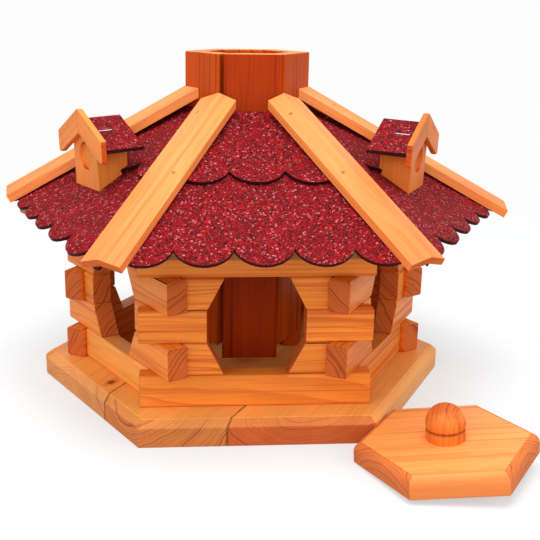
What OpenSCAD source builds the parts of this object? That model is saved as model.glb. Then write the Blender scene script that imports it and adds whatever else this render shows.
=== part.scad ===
// Six-sided timber bird feeder: a beam wall house on a planked floor, a seed silo
// through a shingled roof, two small dormers, and a lid that lies beside it.
// Millimetres, +Z up, origin at the centre of the underside of the floor, front at -Y.

/* [Floor] */
// centre of the floor to each of its six corners
floor_corner_r = 208; // [200:1:225]
// thickness of the floor planks
floor_t = 24; // [18:1:30]
// width of the sloped band round the top of the floor
floor_bevel_w = 7; // [3:0.5:10]
// height of that sloped band
floor_bevel_h = 6.5; // [3:0.5:10]
// centre line to the seam of the front right plank
seam_right = 66.6; // [50:0.2:90]
// centre line to the seam of the back left plank
seam_left = 56.6; // [50:0.2:90]
// rounding of the right, front right and left corners of the floor
floor_round = 14; // [4:1:20]

/* [Walls] */
// centre of the house to the outer face of each wall
wall_apothem = 150; // [146:1:156]
// thickness of the wall beams
beam_t = 20; // [16:1:24]
// height of one course of beams
course_h = 30; // [26:1:32]
// how far the long beams run past the corner of the house
beam_overhang = 17; // [8:1:22]
// open line between one course of beams and the next
course_gap = 0.2; // [0.1:0.1:0.6]
// small bevel on the long edges of the beams
beam_ease = 1.5; // [0.5:0.5:3]
// width of a feeding opening at its sill and at its head
opening_narrow = 56; // [44:1:70]
// width of a feeding opening at its middle
opening_wide = 87; // [74:1:100]

/* [Silo] */
// centre of the silo to its outer corners
silo_corner_r = 60; // [56:1:64]
// thickness of the silo boards
silo_t = 16; // [12:1:20]
// height of the silo above the floor
silo_h = 302; // [290:1:330]
// gap under the three short boards, where the seed runs out
seed_gap = 21; // [10:1:30]
// gap under the front board
front_gap = 7; // [0:0.5:12]
// open joint between the front board and its left neighbour
joint_gap = 3.5; // [0:0.5:5]
// how far the front board stands back from the silo face
front_set_back = 1; // [0:0.5:2]

/* [Roof] */
// slope of the roof faces in degrees
roof_pitch = 30.5; // [28:0.5:33]
// thickness of the roof boards
deck_t = 8; // [6:0.5:12]
// centre of the house to the lower edge of the boards, seen from above
deck_run = 201; // [190:1:208]

/* [Shingles] */
// thickness of a shingle
shingle_t = 3; // [2:0.5:5]
// width of one rounded shingle tab
tab_pitch = 48; // [40:1:54]
// centre of the house to the tips of the lower tabs
low_tip_run = 219; // [214:1:226]
// centre of the house to the notches between the lower tabs
low_notch_run = 204; // [198:1:208]
// centre of the house to the tips of the upper tabs
high_tip_run = 139; // [134:1:140]
// centre of the house to the notches between the upper tabs
high_notch_run = 126; // [122:1:128]
// centre of the house to the hidden top edge of the lower row
low_top_run = 120; // [108:1:122]
// gap between the shingles and the hip line, under the caps
hip_gap = 1; // [0.5:0.5:8]

/* [Hip caps] */
// width of a hip cap
cap_w = 36; // [30:1:42]
// thickness of a hip cap under its ridge
cap_t = 7.2; // [5:0.2:10]
// width of the left and right hip caps
side_cap_w = 44; // [36:1:46]
// thickness of the left and right hip caps under their ridge
side_cap_t = 8.7; // [5:0.1:10]
// extra fall of the upper faces of a cap in degrees
cap_extra_fall = 2; // [0:0.5:4]
// centre of the house to the lower ridge end of the caps
cap_end_r = 258; // [250:1:262]
// how much shorter the left cap is
left_cap_short = 23; // [0:1:30]
// how much longer the right cap is
right_cap_extra = 7; // [0:1:12]

/* [Nails and staples] */
// diameter of a nail head
nail_head_d = 3; // [2.4:0.2:6]
// thickness of a nail head
nail_head_t = 0.8; // [0.6:0.2:1.6]
// diameter of a nail shank
nail_d = 1.6; // [1.2:0.2:2.2]
// length of a nail shank with its point
nail_l = 20; // [16:1:22]
// silo end of a cap to its upper nail
nail_high = 24; // [16:1:40]
// silo end of a cap to its lower nail
nail_low = 110; // [90:1:130]
// ridge of a cap to its nails
nail_side = 9; // [6:0.5:11]
// length of a staple along its crown
staple_w = 13; // [10:0.5:15]
// thickness of the staple wire
staple_wire = 1; // [0.8:0.1:1.4]
// length of a staple leg
staple_leg = 9; // [6:0.5:11]

/* [Dormers] */
// width of the dormer block
dormer_w = 48; // [42:1:52]
// length of the dormer block along its ridge
dormer_l = 30; // [26:1:33]
// centre of the house to the foot of the left dormer's front
left_dormer_run = 165.5; // [164:0.5:174]
// centre of the house to the foot of the right dormer's front
right_dormer_run = 169.5; // [164:0.5:174]
// how far the dormers stand from the middle of their sides, towards the back
dormer_shift = 13; // [0:0.5:14]
// forward lean of the dormers in degrees
dormer_lean = 2; // [0:0.5:4]
// gap between the upper tabs and the back of the dormer block
dormer_gap = 1.5; // [1:0.5:8]
// slope of the dormer roof in degrees
dormer_pitch = 28; // [24:1:32]
// height of the dormer ridge above the foot of the dormer's front
dormer_h = 63; // [58:0.5:68]
// length of the dormer shingle
dormer_roof_l = 37; // [33:1:37]
// width of the dormer shingle, seen from above
dormer_roof_w = 88; // [84:1:90]
// thickness of the dormer front boards
barge_t = 5.5; // [4:0.5:10]
// width across the two front boards
barge_w = 91; // [86:1:100]
// how far the front boards stand above the dormer shingle
barge_rise = 8; // [3:0.5:10]
// depth of the front boards at their mitre
barge_h = 21; // [18:1:26]
// height of the cut end of a front board
barge_end_h = 19.5; // [12:0.5:20.5]
// half width of the flat at the top of the mitre
barge_flat = 2; // [1:0.5:4]
// open line at the mitre of the front boards
barge_joint = 0.2; // [0:0.1:0.6]
// diameter of the blind hole in the dormer block
dormer_hole_d = 25; // [16:1:27]
// depth of that hole
dormer_hole_depth = 4; // [2:0.5:9]
// height of the centre of that hole above the foot of the dormer's front
dormer_hole_h = 29; // [27:0.5:32]

/* [Lid] */
// centre of the lid to each of its six corners
lid_corner_r = 77; // [72:1:80]
// thickness of the lid plate
lid_t = 18.5; // [16:0.5:22]
// rounding of the upper edge of the lid
lid_round = 12.5; // [8:0.5:14]
// thickness of the block under the lid
locator_t = 8; // [6:0.5:12]
// clearance between that block and the inside of the silo
locator_clear = 1.3; // [1:0.1:3]
// centre of the lid to the straight side of that block
locator_edge = 7; // [6:0.5:12]
// diameter of the round part of the knob
knob_d = 33; // [28:0.5:38]
// height of the knob
knob_h = 30.6; // [28:0.2:36]
// diameter of the foot of the knob
knob_foot_d = 32.4; // [28:0.2:36]
// height of the foot of the knob
knob_foot_h = 8; // [5:0.5:9]
// width of the groove above that foot
knob_groove_w = 3; // [2:0.2:3.4]
// depth of that groove
knob_groove_depth = 2.4; // [1:0.2:4]
// diameter of the knob screw
screw_d = 4; // [3:0.5:5]
// how far the knob screw reaches into the knob
screw_bite = 12; // [8:1:20]
// gap between the side of the lid and the front right corner of the floor
lid_gap = 0.6; // [0.5:0.1:20]
// how far the lid lies along from that corner
lid_slide = 11; // [-20:0.1:20]
// turn of the lid on the ground in degrees
lid_turn = 7; // [0:0.5:10]

/* [Fits] */
// clearance round nails, staple legs and the knob screw
fit_clear = 0.15; // [0.1:0.05:0.3]

/* [Show] */
// piece to draw, or all of them

/* [Hidden] */
$fn = 64;
cut = 1;
far = 300;
// edges and reaches of the lower tabs on the two sides beside the front
front_left_tab_edges = [-126.5, -93.5, -60.5, -30, 6, 48, 95, 142.5];
front_left_tab_tips = [203, 206.5, 211, 214.5, 218, 221.5, 222];
front_right_tab_edges = [-158, -110, -60, -12, 30, 67, 105, 143];
front_right_tab_tips = [221, 221, 222, 222, 222, 223.5, 224];
// directions that the six sides face
front_angle = 270;
front_right_angle = 330;
back_right_angle = 30;
back_angle = 90;
back_left_angle = 150;
front_left_angle = 210;
// directions of the six corners
corner_front_right_angle = 300;
corner_right_angle = 0;
corner_back_right_angle = 60;
corner_back_left_angle = 120;
corner_left_angle = 180;
corner_front_left_angle = 240;
half_angle = 30;

floor_apothem = floor_corner_r * cos(half_angle);
wall_inner = wall_apothem - beam_t;
beam_h = course_h - course_gap;
blocks_z = floor_t + course_h;
head_z = blocks_z + 3 * course_h;
plate_z = head_z + course_h;
eave_z = plate_z + course_h;
long_half = wall_apothem * tan(half_angle) + beam_overhang;
silo_apothem = silo_corner_r * cos(half_angle);
silo_inner = silo_apothem - silo_t;
silo_top = floor_t + silo_h;
rise = tan(roof_pitch);
deck_v = deck_t / cos(roof_pitch);
// height of the roof boards' upper face above any run from the centre
function deck_top(run) = eave_z + deck_v + (wall_apothem - run) * rise;
function slope_len(run) = (run - silo_apothem) / cos(roof_pitch);
lift_angle = asin(shingle_t / slope_len(low_top_run));
high_top_v = (slope_len(high_tip_run) * sin(lift_angle) + shingle_t) / cos(roof_pitch);
low_top_v = shingle_t / cos(roof_pitch);

// the caps rest on the tips of both rows of tabs
cap_rest_high_r = high_tip_run / cos(half_angle);
cap_rest_high_z = deck_top(high_tip_run) + high_top_v;
low_rest_run = max(low_tip_run, max(front_left_tab_tips), max(front_right_tab_tips));
cap_rest_low_r = low_rest_run / cos(half_angle);
cap_rest_low_z = deck_top(low_rest_run) + low_top_v;
cap_fall = atan((cap_rest_high_z - cap_rest_low_z) / (cap_rest_low_r - cap_rest_high_r));
cap_leg = atan(rise * sin(half_angle) * cos(cap_fall));
cap_top_leg = cap_leg + cap_extra_fall;
silo_touch = 0.3;
cap_start_r = silo_corner_r + silo_touch;
// length along a cap, from the silo to a ridge end at that distance from the centre
function cap_len(r) = (r - cap_start_r) / cos(cap_fall);

dormer_fall = tan(dormer_pitch);
dormer_shingle_v = shingle_t / cos(dormer_pitch);
barge_top_z = dormer_h + barge_rise;
barge_end_z = barge_top_z - (barge_w / 2 - barge_flat) * dormer_fall;
barge_low_z = barge_end_z - barge_end_h;
barge_inner_z = barge_top_z - barge_h;
barge_inner_half = (barge_inner_z - barge_low_z) / dormer_fall;
staple_side = 20;
staple_inset = 5;

lid_apothem = lid_corner_r * cos(half_angle);
locator_corner_r = silo_inner / cos(half_angle) - locator_clear;
// the left corner of the plate and the straight side of the block carry the lid
lid_tilt = atan(locator_t / (lid_corner_r + locator_edge));
lid_lift_z = lid_corner_r * sin(lid_tilt);
// the lid lies with one side against the rounded front right corner of the floor
lid_side = 150 - lid_turn;
lid_reach = lid_apothem + floor_round + lid_gap;
floor_round_r = floor_corner_r - floor_round / cos(half_angle);
touch_x = floor_round_r * cos(corner_front_right_angle);
touch_y = floor_round_r * sin(corner_front_right_angle);
lid_x = touch_x - lid_reach * cos(lid_side) - lid_slide * sin(lid_side);
lid_y = touch_y - lid_reach * sin(lid_side) + lid_slide * cos(lid_side);
screw_head_d = 2 * screw_d;
screw_head_t = 0.6 * screw_d;
screw_l = lid_t + screw_bite;
knob_ball_z = knob_h - knob_d / 2;
knob_groove_top = knob_foot_h + knob_groove_w;
// diameter of the ball where the groove meets it
knob_ball_cut_d = 2 * sqrt(pow(knob_d / 2, 2) - pow(knob_ball_z - knob_groove_top, 2));
knob_neck_d = knob_foot_d - 2 * knob_groove_depth;

pine = "#e8964a";
light_pine = "#f2b06a";
stain = "#9c4016";
felt = "#8e1f2a";
steel = "#b9bdc2";

// turns a piece drawn facing +X to face a side or a corner
module facing(angle) {
    rotate([0, 0, angle]) children();
}

// a flat outline across the run and upward, drawn out along the width of a side
module along_side(length, outline) {
    rotate([90, 0, 0]) linear_extrude(height = length, center = true) polygon(outline);
}

// a flat outline across the width and upward, drawn out along the run from one place to another
module along_run(run_from, run_to, outline) {
    translate([run_from, 0, 0]) rotate([90, 0, 90])
        linear_extrude(height = run_to - run_from) polygon(outline);
}

// the sixth of the plan that belongs to one side, less a gap along both edges
module sector(run_from, run_to, z_low, z_high, gap) {
    edge = gap / cos(half_angle);
    translate([0, 0, z_low]) linear_extrude(height = z_high - z_low) polygon([
        [run_from, run_from * tan(half_angle) - edge],
        [run_to, run_to * tan(half_angle) - edge],
        [run_to, edge - run_to * tan(half_angle)],
        [run_from, edge - run_from * tan(half_angle)]
    ]);
}

// floor
module floor_board() {
    difference() {
        cylinder(r = floor_corner_r, h = floor_t, $fn = 6);
        for (angle = [30 : 60 : 330]) facing(angle) floor_bevel();
        for (angle = [corner_right_angle, corner_front_right_angle, corner_left_angle])
            facing(angle) floor_corner_cut();
    }
}

module floor_bevel() {
    low_z = floor_t - floor_bevel_h * (floor_bevel_w + cut) / floor_bevel_w;
    along_side(3 * floor_corner_r, [
        [floor_apothem - floor_bevel_w, floor_t],
        [floor_apothem + cut, low_z],
        [floor_apothem + cut, floor_t + cut],
        [floor_apothem - floor_bevel_w, floor_t + cut]
    ]);
}

module floor_corner_cut() {
    difference() {
        translate([floor_round_r + floor_round * cos(half_angle), -floor_round, -cut])
            cube([floor_round, 2 * floor_round, floor_t + 2 * cut]);
        translate([floor_round_r, 0, -2 * cut]) cylinder(r = floor_round, h = floor_t + 4 * cut);
    }
}

module floor_plank(from, to) {
    color(pine) intersection() {
        floor_board();
        facing(front_right_angle) translate([from, -far, -cut])
            cube([to - from, 2 * far, floor_t + 2 * cut]);
    }
}

module floor_plank_right() {
    floor_plank(seam_right, far);
}

module floor_plank_middle() {
    floor_plank(-seam_left, seam_right);
}

module floor_plank_left() {
    floor_plank(-far, -seam_left);
}

// walls
function beam_outline(z) = [
    [wall_inner + beam_ease, z],
    [wall_apothem - beam_ease, z],
    [wall_apothem, z + beam_ease],
    [wall_apothem, z + beam_h - beam_ease],
    [wall_apothem - beam_ease, z + beam_h],
    [wall_inner + beam_ease, z + beam_h],
    [wall_inner, z + beam_h - beam_ease],
    [wall_inner, z + beam_ease]
];

// a short beam ends against the inner faces of the long beams beside it
function short_half(run) = (wall_inner - run * sin(half_angle)) / cos(half_angle);

module long_beam(z) {
    along_side(2 * long_half, beam_outline(z));
}

module short_beam(z) {
    intersection() {
        along_side(2 * long_half, beam_outline(z));
        translate([0, 0, z - cut]) linear_extrude(height = course_h + 2 * cut) polygon([
            [wall_inner - cut, short_half(wall_inner - cut)],
            [wall_apothem + cut, short_half(wall_apothem + cut)],
            [wall_apothem + cut, -short_half(wall_apothem + cut)],
            [wall_inner - cut, -short_half(wall_inner - cut)]
        ]);
    }
}

// every other side has its long beams in the odd courses
function has_long(angle, course) = (angle % 120 == 30) == (course % 2 == 1);

module beam(angle, course) {
    z = floor_t + (course - 1) * course_h;
    if (has_long(angle, course)) long_beam(z);
    else short_beam(z);
}

module opening_cut() {
    along_run(wall_inner - cut, wall_apothem + cut, [
        [-opening_narrow / 2, blocks_z],
        [opening_narrow / 2, blocks_z],
        [opening_wide / 2, blocks_z + course_h],
        [opening_wide / 2, blocks_z + 2 * course_h],
        [opening_narrow / 2, head_z],
        [-opening_narrow / 2, head_z],
        [-opening_wide / 2, blocks_z + 2 * course_h],
        [-opening_wide / 2, blocks_z + course_h]
    ]);
}

module bottom_rail(angle) {
    color(pine) facing(angle) beam(angle, 1);
}

module wall_blocks(angle) {
    color(pine) facing(angle) for (course = [2 : 4]) difference() {
        beam(angle, course);
        opening_cut();
    }
}

// the head beam over the opening and the sloped plate that carries the roof boards
module top_rails(angle) {
    color(pine) facing(angle) {
        beam(angle, 5);
        intersection() {
            along_side(2 * wall_apothem, [
                [wall_inner, plate_z],
                [wall_apothem, plate_z],
                [wall_apothem, eave_z],
                [wall_inner, eave_z + beam_t * rise]
            ]);
            sector(wall_inner - cut, wall_apothem + cut, plate_z - cut, eave_z + beam_t, 0);
        }
    }
}

module bottom_rail_front() { bottom_rail(front_angle); }
module bottom_rail_front_right() { bottom_rail(front_right_angle); }
module bottom_rail_back_right() { bottom_rail(back_right_angle); }
module bottom_rail_back() { bottom_rail(back_angle); }
module bottom_rail_back_left() { bottom_rail(back_left_angle); }
module bottom_rail_front_left() { bottom_rail(front_left_angle); }
module wall_blocks_front() { wall_blocks(front_angle); }
module wall_blocks_front_right() { wall_blocks(front_right_angle); }
module wall_blocks_back_right() { wall_blocks(back_right_angle); }
module wall_blocks_back() { wall_blocks(back_angle); }
module wall_blocks_back_left() { wall_blocks(back_left_angle); }
module wall_blocks_front_left() { wall_blocks(front_left_angle); }
module top_rails_front() { top_rails(front_angle); }
module top_rails_front_right() { top_rails(front_right_angle); }
module top_rails_back_right() { top_rails(back_right_angle); }
module top_rails_back() { top_rails(back_angle); }
module top_rails_back_left() { top_rails(back_left_angle); }
module top_rails_front_left() { top_rails(front_left_angle); }

// silo
module silo_board(angle, z_low) {
    color(stain) facing(angle) sector(silo_inner, silo_apothem, z_low, silo_top, 0);
}

// the front board leaves its left joint open, stands back a little and ends above the floor
module silo_board_front() {
    inner = silo_inner - front_set_back;
    outer = silo_apothem - front_set_back;
    color(stain) facing(front_angle) translate([0, 0, floor_t + front_gap])
        linear_extrude(height = silo_h - front_gap) polygon([
            [inner, joint_gap - inner * tan(half_angle)],
            [outer, joint_gap - outer * tan(half_angle)],
            [outer, outer * tan(half_angle)],
            [inner, inner * tan(half_angle)]
        ]);
}

module silo_board_front_right() { silo_board(front_right_angle, floor_t + seed_gap); }
module silo_board_back_right() { silo_board(back_right_angle, floor_t); }
module silo_board_back() { silo_board(back_angle, floor_t + seed_gap); }
module silo_board_back_left() { silo_board(back_left_angle, floor_t); }
module silo_board_front_left() { silo_board(front_left_angle, floor_t + seed_gap); }

// roof boards
module roof_panel(angle) {
    color(light_pine) difference() {
        facing(angle) intersection() {
            along_side(2 * far, [
                [silo_apothem, deck_top(silo_apothem)],
                [deck_run, deck_top(deck_run)],
                [deck_run, deck_top(deck_run) - deck_v],
                [silo_apothem, deck_top(silo_apothem) - deck_v]
            ]);
            sector(silo_apothem - cut, far, blocks_z, silo_top, 0);
        }
        nail_bores(angle);
    }
}

module roof_panel_front() { roof_panel(front_angle); }
module roof_panel_front_right() { roof_panel(front_right_angle); }
module roof_panel_back_right() { roof_panel(back_right_angle); }
module roof_panel_back() { roof_panel(back_angle); }
module roof_panel_back_left() { roof_panel(back_left_angle); }
module roof_panel_front_left() { roof_panel(front_left_angle); }

// shingles, drawn lying on the roof boards with +X down the slope
module on_slope() {
    translate([silo_apothem, 0, deck_top(silo_apothem)]) rotate([0, roof_pitch, 0]) children();
}

// a row of rounded tabs, given by the edges between them and the reach of each
module tab_row(from, sag, edges, tips) {
    translate([from, -far / 2, 0]) cube([slope_len(min(tips)) - sag - from, far, shingle_t]);
    for (k = [0 : len(tips) - 1]) {
        width = edges[k + 1] - edges[k];
        tab_sag = sag * min(1, width / tab_pitch);
        tab_r = (width * width / 4 + tab_sag * tab_sag) / (2 * tab_sag);
        tip = slope_len(tips[k]);
        translate([from, edges[k], 0]) cube([tip - tab_sag - from, width, shingle_t]);
        translate([tip - tab_r, edges[k] + width / 2, 0]) cylinder(r = tab_r, h = shingle_t);
    }
}

even_edges = [for (k = [-2.5 : 2.5]) k * tab_pitch];
function even_tips(run) = [for (k = [-2 : 2]) run];
low_sag = slope_len(low_tip_run) - slope_len(low_notch_run);
high_sag = slope_len(high_tip_run) - slope_len(high_notch_run);

module shingles(angle, low_edges = even_edges, low_tips = even_tips(low_tip_run)) {
    color(felt) difference() {
        facing(angle) intersection() {
            union() {
                on_slope() tab_row(slope_len(low_top_run), low_sag, low_edges, low_tips);
                on_slope() rotate([0, -lift_angle, 0])
                    tab_row(-3 * shingle_t, high_sag, even_edges, even_tips(high_tip_run));
            }
            sector(silo_apothem, far, blocks_z, silo_top, hip_gap);
        }
        nail_bores(angle);
    }
}

module shingles_front() { shingles(front_angle); }
module shingles_front_right() { shingles(front_right_angle, front_right_tab_edges, front_right_tab_tips); }
module shingles_back_right() { shingles(back_right_angle); }
module shingles_back() { shingles(back_angle); }
module shingles_back_left() { shingles(back_left_angle); }
module shingles_front_left() { shingles(front_left_angle, front_left_tab_edges, front_left_tab_tips); }

// hip caps, drawn from the silo outward with +X down the hip and the groove along X
module on_hip(corner) {
    facing(corner) translate([
        cap_start_r,
        0,
        cap_rest_high_z + (cap_rest_high_r - cap_start_r) * tan(cap_fall)
    ]) rotate([0, cap_fall, 0]) children();
}

// the left and right caps are cut from a larger batten and end in a notch round the silo's corner
function is_side_cap(corner) = corner == corner_left_angle || corner == corner_right_angle;
function batten_w(corner) = is_side_cap(corner) ? side_cap_w : cap_w;
function batten_t(corner) = is_side_cap(corner) ? side_cap_t : cap_t;

module hip_cap(corner, end_r) {
    half = batten_w(corner) / 2;
    thick = batten_t(corner);
    color(light_pine) difference() {
        on_hip(corner) along_run(-half, cap_len(end_r) - thick * sin(cap_fall), [
            [0, 0],
            [half, -half * tan(cap_leg)],
            [half, thick - half * tan(cap_top_leg)],
            [0, thick],
            [-half, thick - half * tan(cap_top_leg)],
            [-half, -half * tan(cap_leg)]
        ]);
        translate([0, 0, eave_z]) cylinder(r = cap_start_r, h = silo_h, $fn = 6);
        if (!is_side_cap(corner)) facing(corner) translate([0, -half - cut, eave_z])
            cube([cap_start_r, 2 * half + 2 * cut, silo_h]);
        nail_bore(corner, nail_high);
        nail_bore(corner, nail_low);
    }
}

module hip_cap_front_right() { hip_cap(corner_front_right_angle, cap_end_r); }
module hip_cap_right() { hip_cap(corner_right_angle, cap_end_r + right_cap_extra); }
module hip_cap_back_right() { hip_cap(corner_back_right_angle, cap_end_r); }
module hip_cap_back_left() { hip_cap(corner_back_left_angle, cap_end_r); }
module hip_cap_left() { hip_cap(corner_left_angle, cap_end_r - left_cap_short); }
module hip_cap_front_left() { hip_cap(corner_front_left_angle, cap_end_r); }

// nails: all stand on one leg of their cap, but for the lower one at the front left
function nail_y(corner, place) =
    corner == corner_front_left_angle && place == nail_low ? nail_side : -nail_side;
head_drop = (nail_side + nail_head_d / 2) * tan(cap_top_leg) + nail_head_t / 2;

module at_nail(corner, place) {
    on_hip(corner) translate([place, nail_y(corner, place), batten_t(corner) - head_drop]) children();
}

module nail_bore(corner, place) {
    at_nail(corner, place) {
        translate([0, 0, -nail_l - cut]) cylinder(d = nail_d + 2 * fit_clear, h = nail_l + 2 * cut);
        cylinder(d = nail_head_d + 2 * fit_clear, h = cap_t);
    }
}

// the bores at both edges of one side
module nail_bores(angle) {
    for (corner = [(angle + 30) % 360, (angle + 330) % 360], place = [nail_high, nail_low])
        nail_bore(corner, place);
}

module cap_nails() {
    point = nail_d;
    color(steel) for (corner = [0 : 60 : 300], place = [nail_high, nail_low])
        at_nail(corner, place) union() {
            cylinder(d = nail_head_d, h = nail_head_t);
            translate([0, 0, point - nail_l]) cylinder(d = nail_d, h = nail_l - point + nail_head_t / 2);
            translate([0, 0, -nail_l]) cylinder(d1 = 0.4, d2 = nail_d, h = point);
        }
}

// dormers, drawn about the foot of their front with +X forward and +Z up their lean
function dormer_run(angle) = angle == front_left_angle ? left_dormer_run : right_dormer_run;
function dormer_y(angle) = angle == front_left_angle ? -dormer_shift : dormer_shift;

module at_dormer(angle) {
    facing(angle) translate([dormer_run(angle), dormer_y(angle), deck_top(dormer_run(angle)) + low_top_v])
        rotate([0, dormer_lean, 0]) children();
}

module dormer_block(angle) {
    half = dormer_w / 2;
    top_z = dormer_h - dormer_shingle_v;
    color(pine) difference() {
        at_dormer(angle) difference() {
            along_run(-dormer_l, 0, [
                [-half, -cut],
                [half, -cut],
                [half, top_z - half * dormer_fall],
                [0, top_z],
                [-half, top_z - half * dormer_fall]
            ]);
            translate([-dormer_hole_depth, 0, dormer_hole_h]) rotate([0, 90, 0])
                cylinder(d = dormer_hole_d, h = dormer_hole_depth + cut);
            staple_slots();
        }
        facing(angle) on_slope() shingle_side(far);
        facing(angle) on_slope() rotate([0, -lift_angle, 0])
            shingle_side(slope_len(high_tip_run) + dormer_gap);
    }
}

// all that lies under the upper face of a row of shingles
module shingle_side(length) {
    translate([0, -far / 2, -far]) cube([length, far, far + shingle_t]);
}

module front_board(side) {
    half = barge_w / 2;
    along_run(0, barge_t, [
        [side * barge_joint / 2, barge_top_z],
        [side * barge_flat, barge_top_z],
        [side * half, barge_end_z],
        [side * half, barge_low_z],
        [side * barge_inner_half, barge_low_z],
        [side * barge_joint / 2, barge_inner_z]
    ]);
}

module dormer_front_boards(angle) {
    color(pine) at_dormer(angle) for (side = [-1, 1]) front_board(side);
}

module dormer_shingle(angle) {
    half = dormer_roof_w / 2;
    low_z = dormer_h - half * dormer_fall;
    color(felt) at_dormer(angle) difference() {
        along_run(-dormer_roof_l, 0, [
            [0, dormer_h],
            [half, low_z],
            [half, low_z - dormer_shingle_v],
            [0, dormer_h - dormer_shingle_v],
            [-half, low_z - dormer_shingle_v],
            [-half, low_z]
        ]);
        staple_slots();
    }
}

// both staples of a dormer lie on its shingle, one on each slope, legs into the block
module at_staples() {
    for (side = [-1, 1])
        translate([-staple_inset - staple_w, side * staple_side, dormer_h - staple_side * dormer_fall])
            rotate([-side * dormer_pitch, 0, 0]) children();
}

module staple_slots() {
    width = staple_wire + 2 * fit_clear;
    at_staples() for (x = [0, staple_w - staple_wire])
        translate([x - fit_clear, -width / 2, -staple_leg - cut]) cube([width, width, staple_leg + 2 * cut]);
}

module dormer_staples() {
    half = staple_wire / 2;
    color(steel) for (angle = [front_left_angle, front_right_angle]) at_dormer(angle) at_staples() union() {
        translate([0, -half, 0]) cube([staple_w, staple_wire, staple_wire]);
        for (x = [0, staple_w - staple_wire])
            translate([x, -half, -staple_leg]) cube([staple_wire, staple_wire, staple_leg + half]);
    }
}

module dormer_block_left() { dormer_block(front_left_angle); }
module dormer_block_right() { dormer_block(front_right_angle); }
module dormer_front_boards_left() { dormer_front_boards(front_left_angle); }
module dormer_front_boards_right() { dormer_front_boards(front_right_angle); }
module dormer_shingle_left() { dormer_shingle(front_left_angle); }
module dormer_shingle_right() { dormer_shingle(front_right_angle); }

// lid, drawn upright about the middle of the underside of its plate
module lid_place() {
    translate([lid_x, lid_y, lid_lift_z]) rotate([0, 0, -lid_turn]) rotate([0, -lid_tilt, 0]) children();
}

module lid_edge_cut() {
    flat = lid_t - lid_round;
    difference() {
        translate([lid_apothem - lid_round, -lid_corner_r, flat])
            cube([lid_round + cut, 2 * lid_corner_r, lid_round + cut]);
        translate([lid_apothem - lid_round, 0, flat]) rotate([90, 0, 0])
            cylinder(r = lid_round, h = 3 * lid_corner_r, center = true, $fn = 96);
    }
}

module screw_bore() {
    translate([0, 0, -cut]) cylinder(d = screw_d + 2 * fit_clear, h = screw_l + 2 * cut);
    translate([0, 0, -cut]) cylinder(d = screw_head_d + 2 * fit_clear, h = screw_head_t + cut);
}

module lid_plate() {
    color(light_pine) lid_place() difference() {
        cylinder(r = lid_corner_r, h = lid_t, $fn = 6);
        for (angle = [30 : 60 : 330]) facing(angle) lid_edge_cut();
        screw_bore();
    }
}

module lid_locator() {
    color(pine) lid_place() intersection() {
        translate([0, 0, -locator_t]) cylinder(r = locator_corner_r, h = locator_t, $fn = 6);
        translate([locator_edge, -far / 2, -locator_t - cut]) cube([far, far, locator_t + 2 * cut]);
    }
}

module lid_knob() {
    color(light_pine) lid_place() translate([0, 0, lid_t]) difference() {
        union() {
            cylinder(d = knob_foot_d, h = knob_foot_h);
            translate([0, 0, knob_foot_h])
                cylinder(d1 = knob_foot_d, d2 = knob_neck_d, h = knob_groove_w / 2);
            translate([0, 0, knob_foot_h + knob_groove_w / 2])
                cylinder(d1 = knob_neck_d, d2 = knob_ball_cut_d, h = knob_groove_w / 2);
            intersection() {
                translate([0, 0, knob_ball_z]) sphere(d = knob_d, $fn = 96);
                translate([-knob_d, -knob_d, knob_groove_top]) cube([2 * knob_d, 2 * knob_d, knob_h]);
            }
        }
        translate([0, 0, -lid_t]) screw_bore();
    }
}

module lid_screw() {
    color(steel) lid_place() union() {
        cylinder(d = screw_head_d, h = screw_head_t);
        cylinder(d = screw_d, h = screw_l);
    }
}

floor_plank_right();
floor_plank_middle();
floor_plank_left();
bottom_rail_front();
bottom_rail_front_right();
bottom_rail_back_right();
bottom_rail_back();
bottom_rail_back_left();
bottom_rail_front_left();
wall_blocks_front();
wall_blocks_front_right();
wall_blocks_back_right();
wall_blocks_back();
wall_blocks_back_left();
wall_blocks_front_left();
top_rails_front();
top_rails_front_right();
top_rails_back_right();
top_rails_back();
top_rails_back_left();
top_rails_front_left();
silo_board_front();
silo_board_front_right();
silo_board_back_right();
silo_board_back();
silo_board_back_left();
silo_board_front_left();
roof_panel_front();
roof_panel_front_right();
roof_panel_back_right();
roof_panel_back();
roof_panel_back_left();
roof_panel_front_left();
shingles_front();
shingles_front_right();
shingles_back_right();
shingles_back();
shingles_back_left();
shingles_front_left();
hip_cap_front_right();
hip_cap_right();
hip_cap_back_right();
hip_cap_back_left();
hip_cap_left();
hip_cap_front_left();
dormer_block_left();
dormer_block_right();
dormer_front_boards_left();
dormer_front_boards_right();
dormer_shingle_left();
dormer_shingle_right();
cap_nails();
dormer_staples();
lid_plate();
lid_locator();
lid_knob();
lid_screw();
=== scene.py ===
from math import cos, radians, sin
import bmesh
import bpy
from mathutils import Euler, Matrix, Vector


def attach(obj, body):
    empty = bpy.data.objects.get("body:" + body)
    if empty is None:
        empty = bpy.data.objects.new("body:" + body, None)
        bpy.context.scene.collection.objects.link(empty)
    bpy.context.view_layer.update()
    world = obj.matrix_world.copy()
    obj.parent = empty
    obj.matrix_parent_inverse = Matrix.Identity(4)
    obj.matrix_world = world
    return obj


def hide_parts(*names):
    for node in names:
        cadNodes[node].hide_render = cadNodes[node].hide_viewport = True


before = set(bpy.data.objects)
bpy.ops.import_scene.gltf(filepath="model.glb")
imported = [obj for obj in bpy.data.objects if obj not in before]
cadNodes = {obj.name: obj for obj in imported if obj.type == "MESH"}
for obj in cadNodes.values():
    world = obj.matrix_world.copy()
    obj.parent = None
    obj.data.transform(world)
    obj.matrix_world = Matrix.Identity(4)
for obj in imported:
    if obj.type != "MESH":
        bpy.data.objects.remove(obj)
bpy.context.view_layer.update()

sideAngles = {"front": 270, "front_right": 330, "back_right": 30, "back": 90, "back_left": 150, "front_left": 210}
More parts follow.
